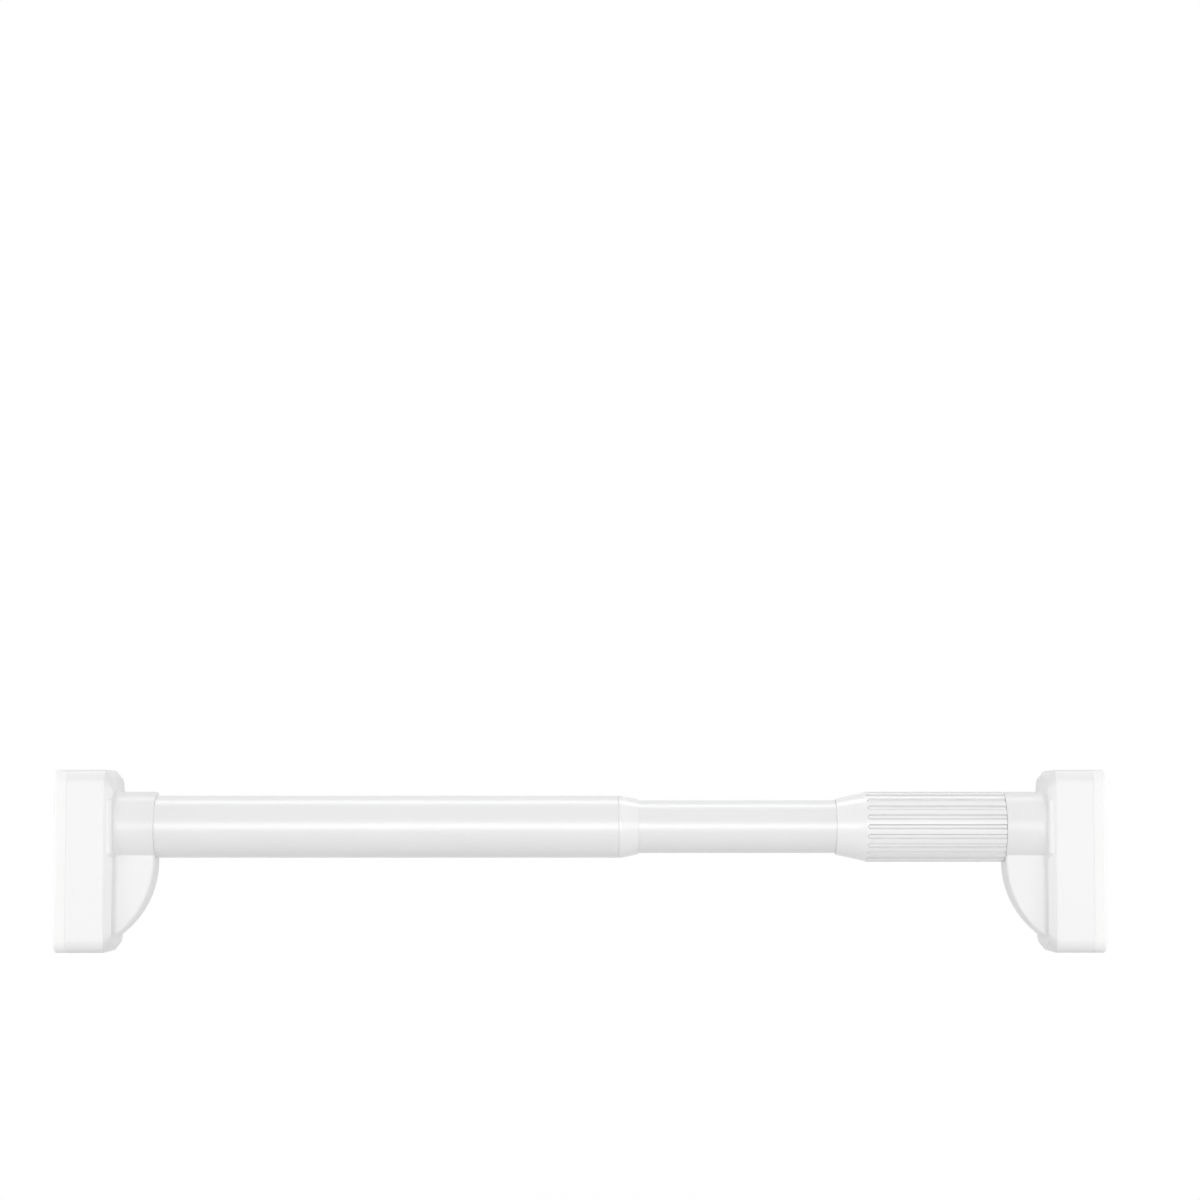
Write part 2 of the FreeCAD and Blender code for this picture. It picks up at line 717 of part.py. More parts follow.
def make_retaining_ring():
    """Open ring in the neck's groove, which holds the foot on the grip."""
    x_start = x_swivel_back + ring_gap + fit_clearance
    x_end = x_start + ring_thickness - 2 * fit_clearance
    ring = tube(x_start, x_end, neck_radius + ring_height, neck_radius - ring_groove_depth + fit_clearance)
    gap = block(x_start - CUT_MARGIN, x_end + CUT_MARGIN, -ring_height, ring_height, 0, 2 * neck_radius)
    return ring.cut(gap)


def build():
    """Every piece of the rod by node name."""
    pad = make_pad()
    shell = make_shell()
    screws = make_screws()
    return {
        "left_pad": pad,
        "left_base_shell": shell,
        "left_bracket": make_left_bracket(),
        "left_base_screws": screws,
        "outer_tube": make_outer_tube(),
        "tube_end_plug": make_end_plug(),
        "plug_screw": make_plug_screw(),
        "plug_washer": make_plug_washer(),
        "tube_collar": make_collar(),
        "inner_tube": make_inner_tube(),
        "lock_plug": make_lock_plug(),
        "lock_screw": make_lock_screw(),
        "lock_collet": make_lock_collet(),
        "lock_cone": make_lock_cone(),
        "lock_clip": make_lock_clip(),
        "spring_stop": make_spring_stop(),
        "pressure_spring": make_pressure_spring(),
        "jack_spindle": make_spindle(),
        "buffer_washer": make_buffer(),
        "spindle_guide": make_guide(),
        "spindle_nut": make_nut(),
        "twist_grip": make_grip(),
        "thrust_washer": make_thrust_washer(),
        "retaining_ring": make_retaining_ring(),
        "right_bracket": mirrored(make_right_bracket()),
        "right_base_shell": mirrored(shell),
        "right_base_screws": mirrored(screws),
        "right_pad": mirrored(pad),
    }


os.makedirs("parts", exist_ok=True)
for node, shape in build().items():
    shape.exportStep(f"parts/{node}.step")
    print(f"{node}: {len(shape.Solids)} solids, {shape.Volume / 1000:.2f} cm3, valid {shape.isValid()}")
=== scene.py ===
"""Looks of a spring tension rod: telescopic tubes, a fluted twist grip and two padded wall feet, in a plain studio."""
import json
import logging
import math
from collections.abc import Sequence
from dataclasses import dataclass
from enum import Enum

import bpy
from mathutils import Matrix, Vector


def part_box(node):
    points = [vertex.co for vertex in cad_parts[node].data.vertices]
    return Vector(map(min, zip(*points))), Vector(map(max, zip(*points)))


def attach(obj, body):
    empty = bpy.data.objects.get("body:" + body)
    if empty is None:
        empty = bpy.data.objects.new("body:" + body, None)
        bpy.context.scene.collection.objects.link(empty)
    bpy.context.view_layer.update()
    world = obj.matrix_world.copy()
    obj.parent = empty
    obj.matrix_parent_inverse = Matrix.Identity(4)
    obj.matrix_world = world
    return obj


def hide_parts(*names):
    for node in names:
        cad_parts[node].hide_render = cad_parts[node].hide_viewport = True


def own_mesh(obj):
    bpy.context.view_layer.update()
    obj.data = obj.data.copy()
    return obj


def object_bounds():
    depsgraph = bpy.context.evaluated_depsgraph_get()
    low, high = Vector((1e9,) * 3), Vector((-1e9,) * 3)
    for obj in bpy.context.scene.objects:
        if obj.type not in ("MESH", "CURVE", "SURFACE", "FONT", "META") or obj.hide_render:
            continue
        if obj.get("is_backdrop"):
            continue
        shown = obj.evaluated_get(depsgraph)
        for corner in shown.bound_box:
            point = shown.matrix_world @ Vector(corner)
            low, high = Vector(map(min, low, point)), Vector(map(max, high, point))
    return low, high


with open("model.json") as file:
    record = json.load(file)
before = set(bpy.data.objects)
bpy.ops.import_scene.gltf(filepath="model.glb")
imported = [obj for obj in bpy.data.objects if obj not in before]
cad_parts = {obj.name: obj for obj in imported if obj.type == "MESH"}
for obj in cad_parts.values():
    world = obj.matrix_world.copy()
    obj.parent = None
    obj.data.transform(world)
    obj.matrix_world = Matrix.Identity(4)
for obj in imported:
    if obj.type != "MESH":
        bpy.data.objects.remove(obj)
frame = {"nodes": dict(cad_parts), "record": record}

Colour = tuple[float, float, float]
Point = tuple[float, float, float]
Row = tuple[float, float, bool]
Socket = bpy.types.NodeSocket
Feed = Socket | float | tuple[float, ...]
Size = float | int | bpy.types.Material

MM = 0.001
SEAM_MERGE = 0.005 * MM
CREASE = math.radians(32)
WHITE = (1.0, 1.0, 1.0, 1.0)
CLOUD_DETAIL = 3.0
CLOUD_LOW, CLOUD_HIGH = 0.2, 0.8
# Point attribute of the grip that darkens its flute walls with painted shade.
PAINTED_WALL_SHADE = "painted_wall_shade"

log = logging.getLogger("tension_rod")


class Port(Enum):
    """The kinds of socket that the node trees have."""

    VALUE = "NodeSocketFloat"
    COUNT = "NodeSocketInt"
    VECTOR = "NodeSocketVector"
    COLOUR = "NodeSocketColor"
    MATERIAL = "NodeSocketMaterial"
    GEOMETRY = "NodeSocketGeometry"


class Skin(Enum):
    """The kinds of surface relief that the finishes share."""

    MOULDED = "moulded"
    ENAMEL = "enamel"
    DRAWN = "drawn"
    ELASTOMER = "elastomer"


@dataclass(frozen=True)
class Relief:
    """Size and depth of one kind of surface relief, in metres."""

    cell: float
    depth: float
    detail: float
    stretch: float = 1.0


RELIEFS: dict[Skin, Relief] = {
    Skin.MOULDED: Relief(cell=0.9 * MM, depth=0.004 * MM, detail=3.0),
    Skin.ENAMEL: Relief(cell=2.4 * MM, depth=0.006 * MM, detail=1.0),
    Skin.DRAWN: Relief(cell=0.35 * MM, depth=0.006 * MM, detail=4.0, stretch=0.04),
    Skin.ELASTOMER: Relief(cell=0.45 * MM, depth=0.012 * MM, detail=4.0),
}


class NodeBench:
    """Adds nodes to one tree and joins them."""

    def __init__(self, tree: bpy.types.NodeTree) -> None:
        """Takes the tree that the nodes go into."""
        self.tree = tree

    def feed(self, node: bpy.types.Node, feeds: dict[str | int, Feed]) -> None:
        """Joins a node's inputs to other sockets, or sets values on them.

        Args:
            node: The node.
            feeds: A socket or a value for each named or numbered input.
        """
        for place, source in feeds.items():
            if isinstance(source, Socket):
                self.tree.links.new(source, node.inputs[place])
            else:
                node.inputs[place].default_value = source

    def node(self, kind: str, feeds: dict[str | int, Feed] | None = None, **settings: object) -> bpy.types.Node:
        """Adds a node.

        Args:
            kind: The node's type.
            feeds: A socket or a value for each input that needs one.
            settings: Properties of the node, which are set before its inputs.

        Returns:
            The node.
        """
        made = self.tree.nodes.new(kind)
        for name, value in settings.items():
            setattr(made, name, value)
        self.feed(made, feeds or {})
        return made

    def maths(self, operation: str, *values: Feed) -> Socket:
        """Adds a Math node with its operation and inputs, and gives its result."""
        return self.node("ShaderNodeMath", dict(enumerate(values)), operation=operation).outputs[0]

    def vector(self, x: Feed, y: Feed, z: Feed) -> Socket:
        """Adds a Combine XYZ node and gives its vector."""
        return self.node("ShaderNodeCombineXYZ", {"X": x, "Y": y, "Z": z}).outputs[0]

    def port(self, label: str, kind: Port, way: str = "INPUT") -> bpy.types.NodeTreeInterfaceSocket:
        """Adds a named socket to the outside of the tree and gives it."""
        return self.tree.interface.new_socket(label, in_out=way, socket_type=kind.value)


class ShaderGroup(NodeBench):
    """A group of shader nodes that several materials place."""

    def __init__(self, name: str, inputs: dict[str, Port], result: str, kind: Port) -> None:
        """Makes the group with its sockets.

        Args:
            name: The group's name.
            inputs: The kind of each named input.
            result: The name of its one output.
            kind: The kind of that output.
        """
        super().__init__(bpy.data.node_groups.new(name, "ShaderNodeTree"))
        for label, port in inputs.items():
            self.port(label, port)
        self.port(result, kind, "OUTPUT")
        self.given = self.node("NodeGroupInput").outputs
        self.result = self.node("NodeGroupOutput")


def uneven_tone() -> bpy.types.NodeTree:
    """Builds the soft uneven tone of a surface: its colour, varied a little in large clouds.

    Returns:
        The group.
    """
    inputs = {
        "Place": Port.VECTOR, "Colour": Port.COLOUR, "Shade": Port.COLOUR,
        "Cloud Size": Port.VALUE, "Amount": Port.VALUE,
    }
    group = ShaderGroup("uneven_tone", inputs, "Colour", Port.COLOUR)
    given = group.given
    frequency = group.maths("DIVIDE", 1.0, given["Cloud Size"])
    clouds = group.node("ShaderNodeTexNoise", {"Vector": given["Place"], "Scale": frequency, "Detail": CLOUD_DETAIL})
    spread = group.node(
        "ShaderNodeMapRange",
        {"Value": clouds.outputs["Fac"], "From Min": CLOUD_LOW, "From Max": CLOUD_HIGH},
        interpolation_type="SMOOTHSTEP",
    )
    share = group.maths("MULTIPLY", spread.outputs["Result"], given["Amount"])
    blend = group.node("ShaderNodeMix", {"Factor": share, "A": given["Colour"], "B": given["Shade"]}, data_type="RGBA")
    group.feed(group.result, {"Colour": blend.outputs["Result"]})
    return group.tree


def fine_relief() -> bpy.types.NodeTree:
    """Builds the fine relief of a surface as a height, from rounded grain to long drawn lines.

    Returns:
        The group.
    """
    inputs = {"Place": Port.VECTOR, "Cell": Port.VALUE, "Stretch": Port.VALUE, "Detail": Port.VALUE}
    group = ShaderGroup("fine_relief", inputs, "Height", Port.VALUE)
    given = group.given
    along = group.vector(given["Stretch"], 1.0, 1.0)
    stretched = group.node("ShaderNodeVectorMath", {0: given["Place"], 1: along}, operation="MULTIPLY").outputs[0]
    frequency = group.maths("DIVIDE", 1.0, given["Cell"])
    grain = group.node("ShaderNodeTexNoise", {"Vector": stretched, "Scale": frequency, "Detail": given["Detail"]})
    group.feed(group.result, {"Height": grain.outputs["Fac"]})
    return group.tree


@dataclass(frozen=True)
class Finish:
    """How the surfaces of one material slot look."""

    slot: str
    colour: Colour
    shade: Colour
    skin: Skin
    roughness: float
    tone_amount: float = 0.5
    cloud_size: float = 25 * MM
    metallic: float = 0.0
    coat: float = 0.0
    coat_roughness: float = 0.1
    # Point attribute and tint for painted shade: where the attribute is 1, the colour is multiplied by the tint.
    painted_shade_attribute: str = ""
    painted_shade_tint: float = 1.0

    def material(self, tone: bpy.types.NodeTree, relief: bpy.types.NodeTree) -> bpy.types.Material:
        """Builds the node material.

        Args:
            tone: The shared group for an uneven tone.
            relief: The shared group for a fine relief.

        Returns:
            The material, named after the slot.
        """
        made = bpy.data.materials.new(self.slot)
        made.use_nodes = True
        bench = NodeBench(made.node_tree)
        place = bench.node("ShaderNodeTexCoord").outputs["Object"]
        toned = bench.node(
            "ShaderNodeGroup",
            {
                "Place": place, "Colour": (*self.colour, 1.0), "Shade": (*self.shade, 1.0),
                "Cloud Size": self.cloud_size, "Amount": self.tone_amount,
            },
            node_tree=tone,
        )
        size = RELIEFS[self.skin]
        grain = bench.node(
            "ShaderNodeGroup",
            {"Place": place, "Cell": size.cell, "Stretch": size.stretch, "Detail": size.detail},
            node_tree=relief,
        )
        bump = bench.node("ShaderNodeBump", {"Height": grain.outputs["Height"], "Distance": size.depth})
        feeds = {
            "Base Color": self.add_painted_shade(bench, toned.outputs["Colour"]), "Normal": bump.outputs["Normal"],
            "Roughness": self.roughness, "Metallic": self.metallic,
            "Coat Weight": self.coat, "Coat Roughness": self.coat_roughness,
        }
        bench.feed(made.node_tree.nodes["Principled BSDF"], feeds)
        return made

    def add_painted_shade(self, bench: NodeBench, colour: Socket) -> Socket:
        """Darkens a colour with painted shade where the surface's attribute asks for it.

        Args:
            bench: The material's nodes.
            colour: The colour without the painted shade.

        Returns:
            The socket of the colour with its painted shade.
        """
        if not self.painted_shade_attribute:
            return colour
        painted_shade_share = bench.node("ShaderNodeAttribute", attribute_name=self.painted_shade_attribute).outputs["Fac"]
        painted_shade_colour = (self.painted_shade_tint, self.painted_shade_tint, self.painted_shade_tint, 1.0)
        feeds = {"Factor": painted_shade_share, "A": colour, "B": painted_shade_colour}
        return bench.node("ShaderNodeMix", feeds, data_type="RGBA", blend_type="MULTIPLY").outputs["Result"]


FINISHES: tuple[Finish, ...] = (
    Finish("pad", (0.98, 0.98, 0.975), (0.965, 0.965, 0.96), Skin.ELASTOMER, roughness=0.45),
    Finish(
        "foot_plastic", (0.895, 0.895, 0.895), (0.88, 0.88, 0.88), Skin.MOULDED,
        roughness=0.30, cloud_size=30 * MM,
    ),
    # A whiter copy of the bracket's plastic for the shells, a painted difference of light between the two.
    Finish(
        "shell_plastic_painted_lighter", (0.92, 0.92, 0.92), (0.905, 0.905, 0.905), Skin.MOULDED,
        roughness=0.32, cloud_size=30 * MM,
    ),
    # The grip's flute walls get painted shade, down to 0.76 of its colour where they are steepest.
    Finish(
        "grip_plastic", (0.93, 0.93, 0.93), (0.905, 0.905, 0.905), Skin.MOULDED, roughness=0.24,
        coat=0.9, coat_roughness=0.24, cloud_size=18 * MM, painted_shade_attribute=PAINTED_WALL_SHADE, painted_shade_tint=0.76,
    ),
    Finish(
        "tube_paint", (0.88, 0.88, 0.885), (0.86, 0.86, 0.865), Skin.ENAMEL, roughness=0.32,
        coat=1.0, coat_roughness=0.3, cloud_size=35 * MM,
    ),
    Finish(
        "zinc_steel", (0.72, 0.72, 0.74), (0.60, 0.60, 0.63), Skin.DRAWN,
        roughness=0.28, metallic=1.0, cloud_size=3 * MM,
    ),
    Finish(
        "spring_steel", (0.45, 0.46, 0.48), (0.33, 0.33, 0.35), Skin.DRAWN,
        roughness=0.25, metallic=1.0, cloud_size=4 * MM,
    ),
    Finish("inner_plastic", (0.82, 0.82, 0.80), (0.76, 0.76, 0.73), Skin.MOULDED, roughness=0.45, cloud_size=10 * MM),
    Finish("lock_plastic", (0.20, 0.20, 0.21), (0.16, 0.16, 0.17), Skin.MOULDED, roughness=0.42, cloud_size=8 * MM),
    Finish(
        "nut_brass", (0.78, 0.62, 0.33), (0.66, 0.49, 0.24), Skin.DRAWN,
        roughness=0.24, metallic=1.0, cloud_size=4 * MM,
    ),
    Finish("buffer_rubber", (0.10, 0.10, 0.10), (0.07, 0.07, 0.07), Skin.ELASTOMER, roughness=0.65, cloud_size=5 * MM),
)

# The shells are a little whiter than the brackets, whose slot they share: painted light, which leaves the brackets'
# socket and gusset darker beside the shells as if in shade.
NODE_FINISHES: dict[str, str] = {"left_base_shell": "shell_plastic_painted_lighter", "right_base_shell": "shell_plastic_painted_lighter"}


class Wardrobe:
    """Materials by slot, and the dressing of the fixed nodes in them."""

    def __init__(self, finishes: Sequence[Finish]) -> None:
        """Builds every finish's material.

        Args:
            finishes: One finish for each slot of the record, and those of single nodes.
        """
        tone, relief = uneven_tone(), fine_relief()
        self.materials = {finish.slot: finish.material(tone, relief) for finish in finishes}

    def wear(self, node: bpy.types.Object, slot: str) -> None:
        """Puts a slot's material on a fixed node.

        Args:
            node: The node's object.
            slot: The name of the finish.
        """
        for held in node.material_slots:
            held.material = self.materials[slot]
        log.info("%s wears %s", node.name, slot)

    def dress_nodes(self, nodes: dict[str, bpy.types.Object], subparts: Sequence[dict]) -> None:
        """Gives each fixed node its own finish, or else that of its slot.

        Args:
            nodes: The nodes' objects by name.
            subparts: The record's list of nodes and their slots.
        """
        for part in subparts:
            self.wear(nodes[part["node"]], NODE_FINISHES.get(part["node"], part["material_slot"]))


class GeometryTree(NodeBench):
    """A Geometry Nodes tree with a named input for each of its sizes, and the plain mesh that it makes."""

    PORTS = {float: Port.VALUE, int: Port.COUNT, bpy.types.Material: Port.MATERIAL}

    def __init__(self, name: str, sizes: dict[str, Size]) -> None:
        """Makes the tree with its inputs and its output.

        Args:
            name: The tree's name.
            sizes: A length in metres, a number or the finish for each named input.
        """
        super().__init__(bpy.data.node_groups.new(name, "GeometryNodeTree"))
        self.port("Geometry", Port.GEOMETRY)
        self.values = {self.port(label, self.PORTS[type(size)]).identifier: size for label, size in sizes.items()}
        self.port("Geometry", Port.GEOMETRY, "OUTPUT")
        self.given = self.node("NodeGroupInput").outputs
        self.result = self.node("NodeGroupOutput")

    def close(self, geometry: Socket) -> None:
        """Ends the tree: instances realised, seams merged, smooth shading and the finish.

        Args:
            geometry: What the tree has made so far.
        """
        real = self.node("GeometryNodeRealizeInstances", {"Geometry": geometry})
        merged = self.node("GeometryNodeMergeByDistance", {"Geometry": real.outputs[0], "Distance": SEAM_MERGE})
        smooth = self.node("GeometryNodeSetShadeSmooth", {"Geometry": merged.outputs[0]})
        feeds = {"Geometry": smooth.outputs[0], "Material": self.given["Finish"]}
        self.feed(self.result, {"Geometry": self.node("GeometryNodeSetMaterial", feeds).outputs[0]})

    def grow(self, name: str, seed: bpy.types.Mesh) -> bpy.types.Object:
        """Runs the tree on a mesh and keeps its result as a plain mesh object.

        Args:
            name: The new piece's name.
            seed: The mesh that the tree starts from.

        Returns:
            The piece.
        """
        carrier = bpy.data.objects.new(name + "_carrier", seed)
        bpy.context.scene.collection.objects.link(carrier)
        modifier = carrier.modifiers.new(self.tree.name, "NODES")
        modifier.node_group = self.tree
        for identifier, value in self.values.items():
            modifier[identifier] = value
        evaluated = carrier.evaluated_get(bpy.context.evaluated_depsgraph_get())
        mesh = bpy.data.meshes.new_from_object(evaluated)
        bpy.data.objects.remove(carrier)
        bpy.data.meshes.remove(seed)
        mesh.name = name
        mesh.set_sharp_from_angle(angle=CREASE)
        piece = bpy.data.objects.new(name, mesh)
        bpy.context.scene.collection.objects.link(piece)
        log.info("%s: %d faces", name, len(mesh.polygons))
        return piece


def smoothstep(value: float) -> float:
    """Smooth rise from 0 to 1 as value goes from 0 to 1."""
    t = min(max(value, 0.0), 1.0)
    return t * t * (3 - 2 * t)


def spaced(start: float, end: float, count: int) -> list[float]:
    """Evenly spaced values from start up to, but without, end."""
    return [start + (end - start) * i / count for i in range(count)]


def quarter_turn(steps: int) -> list[float]:
    """Angles from 0 to a quarter turn, with both ends."""
    return [math.pi / 2 * i / steps for i in range(steps + 1)]


@dataclass
class TwistGrip:
    """The grip in one moulding: lip, cone, fluted barrel, nut room and swivel spigot. Sizes in millimetres."""

    lip_x: float
    lip_radius: float = 14.6
    bore: float = 13.9
    lip_round: float = 0.6
    lip_steps: int = 4
    cone_length: float = 14.9
    cone_radius: float = 17.75
    cone_round: float = 0.5
    cone_steps: int = 5
    shoulder_steps: int = 6
    radius: float = 18.0
    barrel_length: float = 71.8
    barrel_steps: int = 6
    edge_round: float = 0.35
    edge_steps: int = 4
    flute_count: int = 22
    flute_width: float = 2.6
    flute_depth: float = 1.1
    flute_lip: float = 0.25
    flute_lip_steps: int = 8
    flute_floor_steps: int = 7
    flute_start: float = 0.5
    flute_start_steps: int = 16
    ridge_steps: int = 3
    slope_probe: float = 0.02
    full_shade_slope: float = 1.2
    nut_room_radius: float = 12.8
    nut_from: float = 49.3
    nut_to: float = 61.3
    shaft_bore: float = 8.0
    spigot_radius: float = 13.9
    spigot_length: float = 15.6
    neck_radius: float = 11.0
    neck_end: float = 111.4
    groove_from: float = 109.0
    groove_width: float = 1.1
    groove_depth: float = 1.2

    def outer_rows(self) -> list[Row]:
        """Rows of the outer skin from the lip to the barrel's far edge.

        Returns:
            Station from the lip, radius, and whether the flutes cut the row.
        """
        lip = [
            (self.lip_round * (1 - math.cos(a)), self.lip_radius - self.lip_round * (1 - math.sin(a)), False)
            for a in quarter_turn(self.lip_steps)[:-1]
        ]
        slope = (self.cone_radius - self.lip_radius) / (self.cone_length - self.lip_round)
        shoulder_start = self.cone_length - self.cone_round
        cone = [
            (x, self.lip_radius + slope * (x - self.lip_round), False)
            for x in spaced(self.lip_round, shoulder_start, self.cone_steps)
        ]
        low = self.lip_radius + slope * (shoulder_start - self.lip_round)
        shoulder = [
            (shoulder_start + 2 * self.cone_round * t, low + (self.radius - low) * math.sin(t * math.pi / 2), False)
            for t in spaced(0, 1, self.shoulder_steps)
        ]
        barrel_start = self.cone_length + self.cone_round
        slot_full = self.cone_length + self.flute_start + self.flute_width / 2
        end = self.cone_length + self.barrel_length
        stations = spaced(barrel_start, slot_full, self.flute_start_steps)
        stations += spaced(slot_full, end - self.edge_round, self.barrel_steps)
        barrel = [(x, self.radius, True) for x in stations]
        edge = [
            (end - self.edge_round * (1 - math.sin(a)), self.radius - self.edge_round * (1 - math.cos(a)), True)
            for a in quarter_turn(self.edge_steps)
        ]
        return lip + cone + shoulder + barrel + edge

    def inner_rows(self) -> list[Row]:
        """Rows of the spigot, the neck and the bores, back to the lip.

        Returns:
            Station from the lip, radius, and False, because no flute cuts them.
        """
        end = self.cone_length + self.barrel_length
        profile = [
            (end, self.spigot_radius),
            (end + self.spigot_length, self.spigot_radius),
            (end + self.spigot_length, self.neck_radius),
            (self.groove_from, self.neck_radius),
            (self.groove_from, self.neck_radius - self.groove_depth),
            (self.groove_from + self.groove_width, self.neck_radius - self.groove_depth),
            (self.groove_from + self.groove_width, self.neck_radius),
            (self.neck_end, self.neck_radius),
            (self.neck_end, self.shaft_bore),
            (self.nut_to, self.shaft_bore),
            (self.nut_to, self.nut_room_radius),
            (self.nut_from, self.nut_room_radius),
            (self.nut_from, self.bore),
            (0.0, self.bore),
        ]
        return [(x, radius, False) for x, radius in profile]

    def flute_cut(self, x: float, arc: float) -> float:
        """Depth of the round-bottomed flute, with softened lips and a ball-shaped start.

        Args:
            x: Station from the lip.
            arc: Distance along the arc from the flute's middle line.

        Returns:
            The depth below the barrel's surface at this place.
        """
        half = self.flute_width / 2
        ball = (half**2 + self.flute_depth**2) / (2 * self.flute_depth)
        centre = self.cone_length + self.flute_start + half
        away = math.hypot(x - centre, arc) if x < centre else abs(arc)
        cut = math.sqrt(max(ball**2 - away**2, 0.0)) - ball + self.flute_depth
        if away > half + self.flute_lip:
            return 0.0
        lip = (half + self.flute_lip - away) / (2 * self.flute_lip)
        return max(cut, 0.0) if lip > 1 else max(cut, self.flute_lip * lip**2)

    def painted_wall_shade(self, x: float, arc: float) -> float:
        """How steep the flute is at a place, from 0 on its floor and on the ridges to 1 on its walls.

        Args:
            x: Station from the lip.
            arc: Distance along the arc from the flute's middle line.

        Returns:
            The share of painted shade there, which darkens the steep walls as if they lay in shade.
        """
        step = self.slope_probe
        across = self.flute_cut(x, arc + step) - self.flute_cut(x, arc - step)
        along = self.flute_cut(x + step, arc) - self.flute_cut(x - step, arc)
        return smoothstep(math.hypot(across, along) / (2 * step) / self.full_shade_slope)

    def arcs(self) -> list[float]:
        """Places across one sector, closest together at the flute's lips.

        Returns:
            Distances along the arc from the flute's middle line.
        """
        half_sector = math.pi * self.radius / self.flute_count
        half = self.flute_width / 2
        inner, outer = half - self.flute_lip, half + self.flute_lip
        side = [inner * math.sin(a) for a in quarter_turn(self.flute_floor_steps)[:-1]]
        side += spaced(inner, outer, self.flute_lip_steps)
        side += spaced(outer, half_sector, self.ridge_steps) + [half_sector]
        return [-arc for arc in reversed(side[1:])] + side

    def sector(self) -> bpy.types.Mesh:
        """One sector of the grip, a flute wide, as a strip of its whole turned section.

        Returns:
            The mesh, in metres, about the rod's axis.
        """
        rows = self.outer_rows() + self.inner_rows()
        rows.append(rows[0])
        arcs = self.arcs()
        points: list[Point] = []
        painted_wall_shades: list[float] = []
        for x, radius, fluted in rows:
            for arc in arcs:
                reach = radius - (self.flute_cut(x, arc) if fluted else 0.0)
                # Share of painted shade on the flute walls, from their steepness.
                painted_wall_shades.append(self.painted_wall_shade(x, arc) if fluted else 0.0)
                angle = arc / self.radius
                points.append(((self.lip_x + x) * MM, reach * math.cos(angle) * MM, reach * math.sin(angle) * MM))
        wide = len(arcs)
        faces = [
            (low, low + 1, low + wide + 1, low + wide)
            for row in range(len(rows) - 1)
            for low in range(row * wide, row * wide + wide - 1)
        ]
        mesh = bpy.data.meshes.new("grip_sector")
        mesh.from_pydata(points, [], faces)
        # This attribute carries the painted shade that the grip's finish puts on the flute walls.
        mesh.attributes.new(PAINTED_WALL_SHADE, "FLOAT", "POINT").data.foreach_set("value", painted_wall_shades)
        return mesh

    def tree(self, material: bpy.types.Material) -> GeometryTree:
        """Tree that sets a sector all round the rod's axis.

        Args:
            material: The grip's finish.

        Returns:
            The tree.
        """
        made = GeometryTree("flute_ring", {"Count": self.flute_count, "Finish": material})
        count = made.given["Count"]
        places = made.node("GeometryNodeMeshLine", {"Count": count, "Offset": (0.0, 0.0, 0.0)}, mode="OFFSET")
        index = made.node("GeometryNodeInputIndex").outputs[0]
        turn = made.maths("DIVIDE", made.maths("MULTIPLY", index, math.tau), count)
        copies = made.node(
            "GeometryNodeInstanceOnPoints",
            {
                "Points": places.outputs["Mesh"], "Instance": made.given["Geometry"],
                "Rotation": made.vector(turn, 0.0, 0.0),
            },
        )
        made.close(copies.outputs["Instances"])
        return made

    def build(self, material: bpy.types.Material) -> bpy.types.Object:
        """Builds the grip and sets it in the place of its plain node.

        Args:
            material: The grip's finish.

        Returns:
            The piece.
        """
        piece = self.tree(material).grow("fluted_grip", self.sector())
        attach(piece, "grip")
        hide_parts("twist_grip")
        return piece


